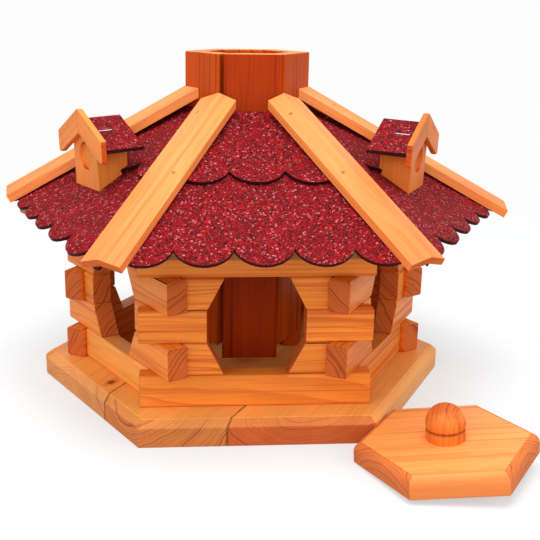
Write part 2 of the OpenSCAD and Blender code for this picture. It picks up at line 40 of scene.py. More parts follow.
cornerAngles = {"front_right": 300, "right": 0, "back_right": 60, "back_left": 120, "left": 180, "front_left": 240}

# the lens is shifted a little, as the photograph is cut from a wider frame
camera = {"place": (-0.06784, -0.90146, 0.36714), "yaw": 4.187, "pitch": -16.649, "roll": 0.70,
          "lens": 61.04, "sensor": 36, "shift": (0.0502, 0.0191), "nearest": 0.02}


def newItem(name, data):
    item = bpy.data.objects.new(name, data)
    bpy.context.scene.collection.objects.link(item)
    return item


def makeCamera(spec):
    yaw, pitch, roll = (radians(spec[key]) for key in ("yaw", "pitch", "roll"))
    ahead = Vector((sin(yaw) * cos(pitch), cos(yaw) * cos(pitch), sin(pitch)))
    level = Vector((cos(yaw), -sin(yaw), 0))
    upright = level.cross(ahead)
    right = level * cos(roll) + upright * sin(roll)
    up = upright * cos(roll) - level * sin(roll)
    data = bpy.data.cameras.new("studioCamera")
    data.lens = spec["lens"]
    data.sensor_width = spec["sensor"]
    data.shift_x, data.shift_y = spec["shift"]
    data.clip_start = spec["nearest"]
    item = newItem("studioCamera", data)
    turn = Matrix((right, up, -ahead)).transposed().to_4x4()
    item.matrix_world = Matrix.Translation(spec["place"]) @ turn
    bpy.context.scene.camera = item


makeCamera(camera)
bpy.context.scene.view_settings.view_transform = "Standard"
print("camera placed")


# node helpers
def tone(red, green, blue):  # a colour read off a swatch, 0 to 255, through the usual screen curve
    channels = [value / 255 for value in (red, green, blue)]
    return tuple(c / 12.92 if c < 0.04045 else ((c + 0.055) / 1.055) ** 2.4 for c in channels) + (1.0,)


def plug(tree, socket, value):
    if isinstance(value, bpy.types.NodeSocket):
        tree.links.new(value, socket)
    elif value is not None:
        socket.default_value = value


def put(tree, kind, inputs=None, **settings):
    node = tree.nodes.new(kind)
    for key, value in settings.items():
        setattr(node, key, value)
    for key, value in (inputs or {}).items():
        plug(tree, node.inputs[key], value)
    return node


def calc(tree, operation, *values):
    return put(tree, "ShaderNodeMath", dict(enumerate(values)), operation=operation).outputs[0]


def vectorCalc(tree, operation, *values):
    return put(tree, "ShaderNodeVectorMath", dict(enumerate(values)), operation=operation).outputs[0]


def length(tree, vector):
    return put(tree, "ShaderNodeVectorMath", {0: vector}, operation="LENGTH").outputs["Value"]


def scaled(tree, vector, factors):
    return vectorCalc(tree, "MULTIPLY", vector, factors)


# a colour mix has its colours at inputs 6 and 7 and its result at output 2
def mixTone(tree, factor, first, second, mode="MIX"):
    node = put(tree, "ShaderNodeMix", data_type="RGBA", blend_type=mode, clamp_factor=True)
    plug(tree, node.inputs[0], factor)
    plug(tree, node.inputs[6], first)
    plug(tree, node.inputs[7], second)
    return node.outputs[2]


def spread(tree, value, low, high, newLow=0.0, newHigh=1.0, smooth=False):
    kind = "SMOOTHSTEP" if smooth else "LINEAR"
    node = put(tree, "ShaderNodeMapRange", interpolation_type=kind, clamp=True)
    for index, item in enumerate((value, low, high, newLow, newHigh)):
        plug(tree, node.inputs[index], item)
    return node.outputs[0]


def noise(tree, vector, scale=1.0, detail=2.0, rough=0.5, out=0):
    node = put(tree, "ShaderNodeTexNoise", {"Vector": vector, "Scale": scale, "Detail": detail, "Roughness": rough})
    return node.outputs[out]


def chance(tree, value, out=0):
    return put(tree, "ShaderNodeTexWhiteNoise", {"W": value}, noise_dimensions="1D").outputs[out]


def split(tree, vector):
    node = put(tree, "ShaderNodeSeparateXYZ", {0: vector})
    return node.outputs[0], node.outputs[1], node.outputs[2]


def join(tree, x, y, z):
    return put(tree, "ShaderNodeCombineXYZ", {0: x, 1: y, 2: z}).outputs[0]


def times(tree, vector, factor):  # a vector or colour times one value
    return scaled(tree, vector, join(tree, factor, factor, factor))


def newGroup(name, inputs, outputs):
    tree = bpy.data.node_groups.new(name, "ShaderNodeTree")
    kinds = {"v": "NodeSocketVector", "f": "NodeSocketFloat", "c": "NodeSocketColor"}
    for label, kind, default in inputs:
        socket = tree.interface.new_socket(label, in_out="INPUT", socket_type=kinds[kind])
        if default is not None:
            socket.default_value = default
    for label, kind in outputs:
        tree.interface.new_socket(label, in_out="OUTPUT", socket_type=kinds[kind])
    return tree, tree.nodes.new("NodeGroupInput").outputs, tree.nodes.new("NodeGroupOutput").inputs


# planed pine: X runs along the grain, and the rings lie round a pith line that runs with it.
# Three figures go along, across and through the board; four are a range and what it becomes
pineShape = {
    "otherPlace": (3.0, 5.0, 7.0), "secondDraw": 17.3,
    "bend": (8, 30, 30), "bendReach": (0, 0.013, 0.013),
    "pithAside": (-0.05, 0.05), "pithUnder": (0.024, 0.06), "pithLean": (-0.05, 0.05),
    "unevenPace": 0.45, "unevenReach": 3.2,
    "lateCurve": 2.6, "lateEdge": (0.9, 1.0, 1.0, 0.0), "ringStrength": (0.2, 1.0), "striped": (0.1, 0.8, 0.4, 1.1),
    "fibre": (16, 900, 900), "fibreSeen": (0.46, 0.7), "fibreShare": 0.4,
    "band": (2.5, 260, 260), "bandSeen": (0.5, 0.72), "bandShare": 0.7,
    "endFade": 0.25, "endRings": (0.12, 0.6), "speckle": (300, 800, 800), "speckleSeen": (0.5, 0.75, 0, 0.3),
    "cloud": (9, 34, 34), "cloudLevel": (0.25, 0.75, 0.86, 1.08), "boardLevel": (0.92, 1.06),
    "fibreRough": (0.3, 0.7, 0.36, 0.52), "endRough": 0.2,
    "fibreHeight": 0.5, "ringHeight": 0.4, "speckleHeight": 0.8}


def makePineGrain(shape):
    tree, given, result = newGroup("pineGrain", [
        ("Vector", "v", None), ("Normal", "v", None), ("Seed", "f", 0.0),
        ("Pith", "v", (0, 0, 0)), ("PithChance", "f", 1.0),
        ("Light", "c", tone(250, 160, 80)), ("Dark", "c", tone(190, 90, 35)),
        ("End", "c", tone(190, 100, 50)), ("EndLine", "c", tone(130, 60, 30)),
        ("Ring", "f", 0.004), ("Contrast", "f", 0.6), ("Streak", "f", 0.5), ("Blotch", "f", 0.5),
        ("ByNormal", "f", 1.0), ("EndFrom", "f", 0.6), ("CutFace", "f", 0.0)],
        [("Color", "c"), ("Roughness", "f"), ("Height", "f")])
    seed = given["Seed"]
    firstDraw = chance(tree, seed, out="Color")
    firstPick = split(tree, firstDraw)
    secondPick = split(tree, chance(tree, calc(tree, "ADD", seed, shape["secondDraw"]), out="Color"))
    elsewhere = vectorCalc(tree, "ADD", given["Vector"], scaled(tree, firstDraw, shape["otherPlace"]))

    # how far a point lies from the pith, which leans a little, in a board whose fibres bend
    wander = noise(tree, scaled(tree, elsewhere, shape["bend"]), out="Color")
    wander = vectorCalc(tree, "SUBTRACT", wander, (0.5, 0.5, 0.5))
    bent = vectorCalc(tree, "ADD", given["Vector"], scaled(tree, wander, shape["bendReach"]))
    x, y, z = split(tree, bent)
    heartY, heartZ = split(tree, given["Pith"])[1:]
    aside = spread(tree, firstPick[0], 0, 1, *shape["pithAside"])
    under = spread(tree, firstPick[1], 0, 1, *shape["pithUnder"])
    pithY = calc(tree, "MULTIPLY_ADD", aside, given["PithChance"], calc(tree, "SUBTRACT", y, heartY))
    pithZ = calc(tree, "MULTIPLY_ADD", under, given["PithChance"], calc(tree, "SUBTRACT", z, heartZ))
    leanY, leanZ = (spread(tree, pick, 0, 1, *shape["pithLean"]) for pick in secondPick[:2])
    pithY = calc(tree, "ADD", pithY, calc(tree, "MULTIPLY", x, leanY))
    pithZ = calc(tree, "ADD", pithZ, calc(tree, "MULTIPLY", x, leanZ))
    reach = length(tree, join(tree, 0.0, pithY, pithZ))

    # rings of unequal width and strength, each with its late wood at the outer edge
    rings = calc(tree, "DIVIDE", reach, given["Ring"])
    uneven = noise(tree, join(tree, calc(tree, "MULTIPLY", rings, shape["unevenPace"]), seed, 0.0), detail=1)
    rings = calc(tree, "MULTIPLY_ADD", uneven, shape["unevenReach"], rings)
    inRing = calc(tree, "FRACT", rings)
    late = calc(tree, "POWER", inRing, shape["lateCurve"])
    late = calc(tree, "MULTIPLY", late, spread(tree, inRing, *shape["lateEdge"]))
    ringChance = chance(tree, calc(tree, "ADD", calc(tree, "FLOOR", rings), seed))
    late = calc(tree, "MULTIPLY", late, spread(tree, ringChance, 0, 1, *shape["ringStrength"]))

    fibre = noise(tree, scaled(tree, elsewhere, shape["fibre"]), rough=0.6)
    band = noise(tree, scaled(tree, elsewhere, shape["band"]), detail=3, rough=0.55)
    cloud = noise(tree, scaled(tree, elsewhere, shape["cloud"]))
    speckle = noise(tree, scaled(tree, elsewhere, shape["speckle"]), rough=0.6)

    # long faces: rings, fine streaks and broad bands over the light tone
    striped = calc(tree, "MULTIPLY", given["Contrast"], spread(tree, firstPick[2], *shape["striped"]))
    body = mixTone(tree, calc(tree, "MULTIPLY", late, striped), given["Light"], given["Dark"])
    streaks = calc(tree, "MULTIPLY", spread(tree, fibre, *shape["fibreSeen"]), given["Streak"])
    body = mixTone(tree, calc(tree, "MULTIPLY", streaks, shape["fibreShare"]), body, given["Dark"])
    bands = calc(tree, "MULTIPLY", spread(tree, band, *shape["bandSeen"], smooth=True), given["Blotch"])
    body = mixTone(tree, calc(tree, "MULTIPLY", bands, shape["bandShare"]), body, given["Dark"])

    # cut ends, found by the way they face or handed in as a mask
    across = calc(tree, "ABSOLUTE", split(tree, given["Normal"])[0])
    endMask = spread(tree, calc(tree, "SUBTRACT", across, given["EndFrom"]), 0.0, shape["endFade"])
    endMask = calc(tree, "MAXIMUM", calc(tree, "MULTIPLY", endMask, given["ByNormal"]), given["CutFace"])
    endBody = mixTone(tree, spread(tree, late, *shape["endRings"]), given["End"], given["EndLine"])
    endBody = mixTone(tree, spread(tree, speckle, *shape["speckleSeen"]), endBody, given["EndLine"])
    body = mixTone(tree, endMask, body, endBody)

    boardLevel = spread(tree, secondPick[2], 0, 1, *shape["boardLevel"])
    level = calc(tree, "MULTIPLY", spread(tree, cloud, *shape["cloudLevel"]), boardLevel)
    plug(tree, result["Color"], times(tree, body, level))
    rough = spread(tree, fibre, *shape["fibreRough"])
    plug(tree, result["Roughness"], calc(tree, "ADD", rough, calc(tree, "MULTIPLY", endMask, shape["endRough"])))
    ringHeight = calc(tree, "MULTIPLY", late, shape["ringHeight"])
    height = calc(tree, "ADD", calc(tree, "MULTIPLY", fibre, shape["fibreHeight"]), ringHeight)
    endHeight = calc(tree, "MULTIPLY", calc(tree, "MULTIPLY", speckle, endMask), shape["speckleHeight"])
    plug(tree, result["Height"], calc(tree, "ADD", height, endHeight))
    return tree


pineGrain = makePineGrain(pineShape)

# a knot: a red-brown halo with a ragged edge, and its dark core
knotShape = {"stretch": (0.6, 1, 1), "rag": 130, "ragReach": (0.3, 0.7, 0.8, 1.2),
             "halo": (1.0, 2.4, 1.0, 0.0), "core": (0.7, 1.0, 1.0, 0.0)}
knotTones = {"halo": tone(196, 74, 20), "haloShare": 0.6, "core": tone(110, 34, 10), "coreShare": 0.9}


def makePineKnot(shape):
    tree, given, result = newGroup("pineKnot", [
        ("Vector", "v", None), ("Place", "v", None), ("Size", "f", 0.006)], [("Mask", "f"), ("Core", "f")])
    offset = vectorCalc(tree, "SUBTRACT", given["Vector"], given["Place"])
    ragged = noise(tree, given["Vector"], shape["rag"], rough=0.6)
    reach = calc(tree, "DIVIDE", length(tree, scaled(tree, offset, shape["stretch"])), given["Size"])
    reach = calc(tree, "MULTIPLY", reach, spread(tree, ragged, *shape["ragReach"]))
    plug(tree, result["Mask"], spread(tree, reach, *shape["halo"], smooth=True))
    plug(tree, result["Core"], spread(tree, reach, *shape["core"], smooth=True))
    return tree


pineKnot = makePineKnot(knotShape)

# crimson mineral granules pressed into bitumen felt, with bare pits between some of them
granuleShape = {
    "stretch": 300, "stretchReach": (1.6, 1.6, 1.6), "paleAndGlint": (0.82, 0.98, 0, 0.8),
    "dome": (0.1, 0.62, 1.0, 0.0), "shade": (0.0, 1.0, 0.55, 0.0),
    "rim": (0.03, 0.16, 1.0, 0.0), "pits": 480, "pitsSeen": (0.38, 0.5), "pitDepth": 0.6, "bare": (0.94, 0.96),
    "cloud": 38, "cloudLevel": (0.3, 0.7, 0.84, 1.12),
    "rag": 420, "ragReach": (0.3, 0.7, -0.15, 0.15), "topFrom": (0.5, 0.62), "rough": (0.6, 0.9)}


def makeFeltGranules(shape):
    tree, given, result = newGroup("feltGranules", [
        ("Vector", "v", None), ("Facing", "f", 1.0), ("Size", "f", 0.0017),
        ("Main", "c", tone(212, 26, 36)), ("Deep", "c", tone(104, 0, 8)), ("PaleAndGlint", "c", tone(252, 136, 142)),
        ("Bitumen", "c", tone(48, 4, 6))],
        [("Color", "c"), ("Roughness", "f"), ("Height", "f")])
    place = times(tree, given["Vector"], calc(tree, "DIVIDE", 1.0, given["Size"]))
    stretch = noise(tree, given["Vector"], shape["stretch"], detail=1, out="Color")
    place = vectorCalc(tree, "ADD", place, scaled(tree, stretch, shape["stretchReach"]))
    spaced = {"Vector": place, "Scale": 1.0, "Randomness": 1.0}
    cells, rims = (put(tree, "ShaderNodeTexVoronoi", spaced, feature=kind) for kind in ("F1", "DISTANCE_TO_EDGE"))

    # each granule has a colour of its own and painted shade at its foot
    pick = split(tree, cells.outputs["Color"])
    body = mixTone(tree, pick[0], given["Deep"], given["Main"])
    # a few pale granules, partly their own colour and partly painted glints
    body = mixTone(tree, spread(tree, pick[1], *shape["paleAndGlint"]), body, given["PaleAndGlint"])
    dome = spread(tree, cells.outputs["Distance"], *shape["dome"])
    body = mixTone(tree, spread(tree, dome, *shape["shade"]), body, given["Deep"])

    # bare bitumen with painted shade in pits between granules, and bare bitumen where one is missing
    pitPlaces = spread(tree, noise(tree, given["Vector"], shape["pits"], detail=1), *shape["pitsSeen"])
    pits = calc(tree, "MULTIPLY", spread(tree, rims.outputs["Distance"], *shape["rim"]), pitPlaces)
    body = mixTone(tree, pits, body, given["Bitumen"])
    body = mixTone(tree, spread(tree, pick[2], *shape["bare"]), body, given["Bitumen"])
    cloud = noise(tree, given["Vector"], shape["cloud"], detail=3, rough=0.6)
    body = times(tree, body, spread(tree, cloud, *shape["cloudLevel"]))

    # granules only on the top, with a ragged line at the cut edge
    ragged = spread(tree, noise(tree, given["Vector"], shape["rag"], rough=0.6), *shape["ragReach"])
    top = spread(tree, calc(tree, "ADD", given["Facing"], ragged), *shape["topFrom"])
    plug(tree, result["Color"], mixTone(tree, top, given["Bitumen"], body))
    plug(tree, result["Roughness"], spread(tree, pick[0], 0, 1, *shape["rough"]))
    plug(tree, result["Height"], calc(tree, "SUBTRACT", dome, calc(tree, "MULTIPLY", pits, shape["pitDepth"])))
    return tree


feltGranules = makeFeltGranules(granuleShape)
print("shader groups built")


# the piece's own space: X along the grain, from a turn and a place
def boardSpace(tree, turn=(0, 0, 0), place=(0, 0, 0)):
    coords = tree.nodes.new("ShaderNodeTexCoord").outputs
    turned = tuple(radians(v) for v in turn)
    spot = put(tree, "ShaderNodeMapping", {"Vector": coords["Object"], "Rotation": turned, "Location": place},
               vector_type="TEXTURE")
    side = put(tree, "ShaderNodeMapping", {"Vector": coords["Normal"], "Rotation": turned}, vector_type="TEXTURE")
    return spot.outputs[0], side.outputs[0]


def findShader(tree):
    return next(node for node in tree.nodes if node.type == "BSDF_PRINCIPLED")


def newMaterial(name):
    material = bpy.data.materials.new(name)
    material.use_nodes = True
    tree = material.node_tree
    return material, tree, findShader(tree)


def useGroup(tree, group, inputs):
    node = tree.nodes.new("ShaderNodeGroup")
    node.node_tree = group
    for key, value in inputs.items():
        plug(tree, node.inputs[key], value)
    return node.outputs


def bump(tree, shader, height, strength, distance):
    node = put(tree, "ShaderNodeBump", {"Height": height, "Strength": strength, "Distance": distance})
    plug(tree, shader.inputs["Normal"], node.outputs[0])


# before the edges of a mesh are eased, doubled corners are welded and flat faces joined
meshCare = {"weld": 0.00002, "flat": 0.5, "sharp": 30}


def easeEdges(item, width, segments, sharp):
    edge = item.modifiers.new("easedEdges", "BEVEL")
    edge.width = width
    edge.segments = segments
    edge.limit_method = "ANGLE"
    edge.angle_limit = radians(sharp)
    edge.harden_normals = True


def soften(item, width, segments):
    weld = item.modifiers.new("weld", "WELD")
    weld.merge_threshold = meshCare["weld"]
    flatten = item.modifiers.new("flatten", "DECIMATE")
    flatten.decimate_type = "DISSOLVE"
    flatten.angle_limit = radians(meshCare["flat"])
    easeEdges(item, width, segments, meshCare["sharp"])


# a CAD node gets its material and, where a width is given, eased edges
def dress(nodeName, material, edge=None, segments=2):
    item = cadNodes[nodeName]
    for slot in item.material_slots:
        slot.link = "OBJECT"
        slot.material = material
    if edge:
        soften(item, edge, segments)


# a gable of two sloped boards seen from the front: X becomes each board's own length
def foldedSpace(tree, spot, side, fall):
    rise, run = sin(radians(fall)), cos(radians(fall))
    x, y, z = split(tree, spot)
    nx, ny, nz = split(tree, side)
    outward = calc(tree, "ABSOLUTE", x)
    turned = calc(tree, "MULTIPLY", nx, calc(tree, "SIGN", x))

    def fold(out, up):
        along = calc(tree, "SUBTRACT", calc(tree, "MULTIPLY", out, run), calc(tree, "MULTIPLY", up, rise))
        through = calc(tree, "ADD", calc(tree, "MULTIPLY", out, rise), calc(tree, "MULTIPLY", up, run))
        return along, through

    alongX, throughZ = fold(outward, z)
    alongN, throughN = fold(turned, nz)
    return join(tree, alongX, y, throughZ), join(tree, alongN, ny, throughN)


# the routed bands of a six-sided board: those across the grain show cut ends, those along it are darker
routedBand = {"crisp": 0.0006, "soft": 0.005, "tone": tone(222, 112, 52), "share": 0.6}


def bandMasks(tree, spot, flatReach):
    x, y, z = split(tree, vectorCalc(tree, "ABSOLUTE", spot))
    slant = radians(30)
    slanted = calc(tree, "ADD", calc(tree, "MULTIPLY", x, cos(slant)), calc(tree, "MULTIPLY", y, sin(slant)))
    across = spread(tree, slanted, flatReach, flatReach + routedBand["crisp"])
    across = calc(tree, "MULTIPLY", across, calc(tree, "GREATER_THAN", slanted, y))
    along = spread(tree, y, flatReach, flatReach + routedBand["soft"])
    along = calc(tree, "MULTIPLY", along, calc(tree, "GREATER_THAN", y, slanted))
    return across, along


# painted shade: the dark line in the seam where two boards meet
seamShade = {"deep": 0.0003, "wide": 0.0018, "dark": 1.3, "rag": (60, 60, 200), "tone": tone(128, 48, 14)}


def seamShadeMask(tree, spot, toJoint):
    ragged = noise(tree, scaled(tree, spot, seamShade["rag"]), rough=0.6)
    dark = calc(tree, "MULTIPLY", ragged, seamShade["dark"])
    return spread(tree, toJoint, seamShade["deep"], seamShade["wide"], dark, 0.0, smooth=True)


# the finish of every board, and the steps between the seeds of its courses and halves
boardFinish = {"shine": 0.2, "bump": 0.6, "relief": 0.0002, "courseSeed": 3.71, "halfSeed": 1.37,
               "upright": (0.3, 0.6, 1.0, 0.0)}


# courses: height of the lowest joint, and rise. halves: two boards that meet at X = 0. seams: places in Y.
# fold: fall of a gable. knots: place and size. bands: reach of the flat top. lowEndTint, a tint towards the low
# end: from, to and tone
def pineMaterial(name, look, turn, place=(0, 0, 0), seed=0.0, courses=None, halves=False, seams=(), fold=None,
                 knots=(), bands=None, lowEndTint=None, shine=boardFinish["shine"]):
    material, tree, shader = newMaterial(name)
    spot, side = boardSpace(tree, turn, place)
    x, y, z = split(tree, spot)
    number = seed
    if courses:
        lowest, rise = courses
        height = calc(tree, "DIVIDE", calc(tree, "SUBTRACT", z, lowest), rise)
        number = calc(tree, "MULTIPLY_ADD", calc(tree, "FLOOR", height), boardFinish["courseSeed"], seed)
        within = calc(tree, "FRACT", height)
        toJoint = calc(tree, "MULTIPLY", calc(tree, "MINIMUM", within, calc(tree, "SUBTRACT", 1.0, within)), rise)
        # the painted seam shade is kept to upright faces
        upright = spread(tree, calc(tree, "ABSOLUTE", split(tree, side)[2]), *boardFinish["upright"])
        seamShadow = calc(tree, "MULTIPLY", seamShadeMask(tree, spot, toJoint), upright)
    if seams:
        toJoint = calc(tree, "ABSOLUTE", calc(tree, "SUBTRACT", y, seams[0]))
        for seam in seams[1:]:
            toJoint = calc(tree, "MINIMUM", toJoint, calc(tree, "ABSOLUTE", calc(tree, "SUBTRACT", y, seam)))
        seamShadow = seamShadeMask(tree, spot, toJoint)
    if halves:
        number = calc(tree, "MULTIPLY_ADD", calc(tree, "SIGN", x), boardFinish["halfSeed"], number)
    if fold:
        spot, side = foldedSpace(tree, spot, side, fold)
    cuts = {}
    if bands:
        across, along = bandMasks(tree, spot, bands)
        cuts = {"ByNormal": 0.0, "CutFace": across}
    wood = useGroup(tree, pineGrain, {"Vector": spot, "Normal": side, "Seed": number, **look, **cuts})
    body = wood["Color"]
    if bands:
        body = mixTone(tree, calc(tree, "MULTIPLY", along, routedBand["share"]), body, routedBand["tone"])
    if lowEndTint:
        # darker and more orange towards the low end of the piece
        toEnd = spread(tree, x, lowEndTint["from"], lowEndTint["to"], smooth=True)
        body = mixTone(tree, toEnd, body, mixTone(tree, 1.0, body, lowEndTint["tone"], "MULTIPLY"))
    if courses or seams:
        # painted shade darkens the seams between courses and between planks
        body = mixTone(tree, seamShadow, body, seamShade["tone"])
    for knotPlace, size in knots:
        knot = useGroup(tree, pineKnot, {"Vector": spot, "Place": knotPlace, "Size": size})
        halo = calc(tree, "MULTIPLY", knot["Mask"], knotTones["haloShare"])
        core = calc(tree, "MULTIPLY", knot["Core"], knotTones["coreShare"])
        body = mixTone(tree, core, mixTone(tree, halo, body, knotTones["halo"]), knotTones["core"])
    plug(tree, shader.inputs["Base Color"], body)
    plug(tree, shader.inputs["Roughness"], wood["Roughness"])
    bump(tree, shader, wood["Height"], boardFinish["bump"], boardFinish["relief"])
    shader.inputs["Specular IOR Level"].default_value = shine
    return material


# floor planks, all with their grain along the seams
floor = {
    "turn": 60, "seams": (-0.0666, 0.0566), "edge": 0.0008, "seed": 2.3, "seedStep": 4.1,
    "pine": {"Light": tone(255, 176, 88), "Dark": tone(246, 122, 48), "Contrast": 0.5, "Streak": 0.5,
             "Blotch": 0.5, "EndFrom": 0.42, "PithChance": 0.0},
    "ends": {
        "right": {"End": tone(212, 100, 46), "EndLine": tone(156, 54, 24),
                  "Ring": 0.0021, "Pith": (0, -0.122, 0.046)},
        "middle": {"End": tone(220, 128, 64), "EndLine": tone(170, 82, 36),
                   "Ring": 0.0026, "Pith": (0, 0.012, 0.06)},
        "left": {"End": tone(232, 152, 88), "EndLine": tone(206, 116, 62),
                 "Ring": 0.0030, "Pith": (0, 0.13, -0.05)}},
    "knots": {"left": [((-0.1444, 0.0700, 0.0239), 0.0032)]}}
for index, (name, ends) in enumerate(floor["ends"].items()):
    boards = pineMaterial("floorPine_" + name, {**floor["pine"], **ends}, (0, 0, floor["turn"]),
                          seed=floor["seed"] + floor["seedStep"] * index, seams=floor["seams"],
                          knots=floor["knots"].get(name, ()))
    dress("floor_plank_" + name, boards, floor["edge"])

# orange glaze on planed pine: walls, dormers, the lid's knob and its locating block
glazedPine = {"Light": tone(251, 147, 53), "Dark": tone(196, 68, 8), "End": tone(212, 104, 42),
              "EndLine": tone(158, 60, 22), "Ring": 0.0052, "Contrast": 0.95, "Streak": 0.6, "Blotch": 0.95}

# wall beams: every course is a board of its own, and the rails of one side are paler
walls = {"courses": (0.0239, 0.0300), "edge": 0.0014, "seedStep": 11.9, "blockSeed": 5,
         "paler": {"front_left": {"Light": tone(255, 168, 76), "Dark": tone(226, 104, 34)}}}
for index, (name, angle) in enumerate(sideAngles.items()):
    along, seed = (0, 0, angle + 90), walls["seedStep"] * index
    rails = pineMaterial("glazedRails_" + name, {**glazedPine, **walls["paler"].get(name, {})}, along,
                         seed=seed, courses=walls["courses"])
    blocks = pineMaterial("glazedBlocks_" + name, glazedPine, along,
                          seed=seed + walls["blockSeed"], courses=walls["courses"], halves=True)
    for kind, wood in (("bottom_rail_", rails), ("top_rails_", rails), ("wall_blocks_", blocks)):
        dress(kind + name, wood, walls["edge"])
print("floor and walls dressed")

# silo boards stand upright; their stain is darker than the walls, and the front board is darker still by painted
# shade
silo = {
    "edge": 0.0010, "shine": 0.06, "seed": 40, "seedStep": 2.9,
    "pine": {"Light": tone(206, 82, 16), "Dark": tone(104, 16, 0), "End": tone(232, 150, 92),
             "EndLine": tone(190, 96, 48), "Ring": 0.006, "Contrast": 0.5, "Streak": 0.5, "Blotch": 0.9},
    # the front board's darker tone is painted shade
    "paintedShade": {"front": {"Light": tone(172, 56, 8)}}}
for index, (name, angle) in enumerate(sideAngles.items()):
    look = {**silo["pine"], **silo["paintedShade"].get(name, {})}
    boards = pineMaterial("stainedPine_" + name, look, (0, -90, angle),
                          seed=silo["seed"] + silo["seedStep"] * index, shine=silo["shine"])
    dress("silo_board_" + name, boards, silo["edge"])

# roof boards, raw at their lower edge
roof = {
    "fall": 30.5, "edge": 0.0004, "seed": 60, "seedStep": 1.9,
    "pine": {"Light": tone(186, 112, 60), "Dark": tone(100, 50, 22), "End": tone(150, 86, 52),
             "EndLine": tone(90, 46, 26), "Ring": 0.003, "Contrast": 0.7, "Streak": 0.9, "Blotch": 0.6}}
for index, (name, angle) in enumerate(sideAngles.items()):
    boards = pineMaterial("sawnPine_" + name, roof["pine"], (roof["fall"], 0, angle + 90),
                          seed=roof["seed"] + roof["seedStep"] * index)
    dress("roof_panel_" + name, boards, roof["edge"])

# shingles of the roof, and later of the dormers
felt = {"edge": 0.0005, "segments": 1, "bump": 0.9, "relief": 0.0004, "shine": 0.15}


def feltMaterial(name, turn):
    material, tree, shader = newMaterial(name)
    spot, side = boardSpace(tree, turn)
    granules = useGroup(tree, feltGranules, {"Vector": spot, "Facing": split(tree, side)[2]})
    plug(tree, shader.inputs["Base Color"], granules["Color"])
    plug(tree, shader.inputs["Roughness"], granules["Roughness"])
    bump(tree, shader, granules["Height"], felt["bump"], felt["relief"])
    shader.inputs["Specular IOR Level"].default_value = felt["shine"]
    return material


for name, angle in sideAngles.items():
    dress("shingles_" + name, feltMaterial("feltShingle_" + name, (roof["fall"], 0, angle + 90)),
          felt["edge"], felt["segments"])

# hip caps, a little darker towards their low ends
caps = {
    "fall": 29.05, "edge": 0.0012, "segments": 3, "seed": 80, "seedStep": 3.3,
    "pine": {"Light": tone(246, 150, 78), "Dark": tone(218, 92, 32), "End": tone(216, 116, 52),
             "EndLine": tone(160, 68, 24), "Ring": 0.0036, "Contrast": 0.8, "Streak": 0.8, "Blotch": 0.8},
    "lowEndTint": {"from": 0.0, "to": 0.14, "tone": (1.0, 0.82, 0.72, 1.0)}}
for index, (name, angle) in enumerate(cornerAngles.items()):
    battens = pineMaterial("palePine_cap_" + name, caps["pine"], (0, caps["fall"], angle),
                           seed=caps["seed"] + caps["seedStep"] * index, lowEndTint=caps["lowEndTint"])
    dress("hip_cap_" + name, battens, caps["edge"], caps["segments"])


# a copy of a CAD node's mesh with a small change of shape, which then stands for the node
def refit(nodeName, change, width, segments=2):
    mesh = bmesh.new()
    mesh.from_mesh(cadNodes[nodeName].data)
    bmesh.ops.remove_doubles(mesh, verts=mesh.verts, dist=meshCare["weld"])
    change(mesh)
    data = bpy.data.meshes.new("refit_" + nodeName)
    mesh.to_mesh(data)
    mesh.free()
    if "custom_normal" in data.attributes:
        data.attributes.remove(data.attributes["custom_normal"])
    data.materials.append(cadNodes[nodeName].material_slots[0].material)
    item = newItem("refit_" + nodeName, data)
    soften(item, width, segments)
    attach(item, "feeder")
    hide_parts(nodeName)


def everyPart(mesh):
    return list(mesh.verts) + list(mesh.edges) + list(mesh.faces)


# the left corner of the eaves is cut back under its cap
leftEaveReach = 0.2205


def cutLeftCorner(mesh):
    bmesh.ops.bisect_plane(mesh, geom=everyPart(mesh), plane_co=(-leftEaveReach, 0, 0), plane_no=(-1, 0, 0),
                           clear_outer=True)
    bmesh.ops.holes_fill(mesh, edges=[edge for edge in mesh.edges if edge.is_boundary], sides=0)


refit("shingles_back_left", cutLeftCorner, felt["edge"], felt["segments"])
for name in ("back_left", "front_left"):
    refit("roof_panel_" + name, cutLeftCorner, roof["edge"])

# the side caps get a keel that follows the hip above the upper shingles
keel = {"from": 0.1605, "fall": 0.096, "near": 0.001, "facingDown": -0.3}


def keelUnder(angle):
    outward = Vector((cos(radians(angle)), sin(radians(angle)), 0))
    across = Vector((-outward.y, outward.x, 0))

    def change(mesh):
        bmesh.ops.bisect_plane(mesh, geom=everyPart(mesh), plane_co=outward * keel["from"], plane_no=outward)
        mesh.normal_update()
        below = {vert for face in mesh.faces if face.normal.z < keel["facingDown"] for vert in face.verts}
        for vert in below:
            reach = vert.co.dot(outward)
            if abs(vert.co.dot(across)) < keel["near"] and reach < keel["from"] - keel["near"]:
                vert.co.z -= keel["fall"] * (keel["from"] - reach)
    return change


for name in ("left", "right"):
    refit("hip_cap_" + name, keelUnder(cornerAngles[name]), caps["edge"], caps["segments"])
print("silo and roof dressed")

# staples and screw of bright wire, and nails under the same glaze as the caps
steel = {
    "scratch": (900, 900, 2500), "seen": (0.3, 0.7), "bump": 0.3, "relief": 0.0001,
    "brightWire": {"bright": tone(235, 236, 238), "dull": tone(170, 170, 174), "rough": (0.25, 0.5)},
    "glazedNail": {"bright": tone(214, 140, 88), "dull": tone(160, 92, 52), "rough": (0.45, 0.7)}}


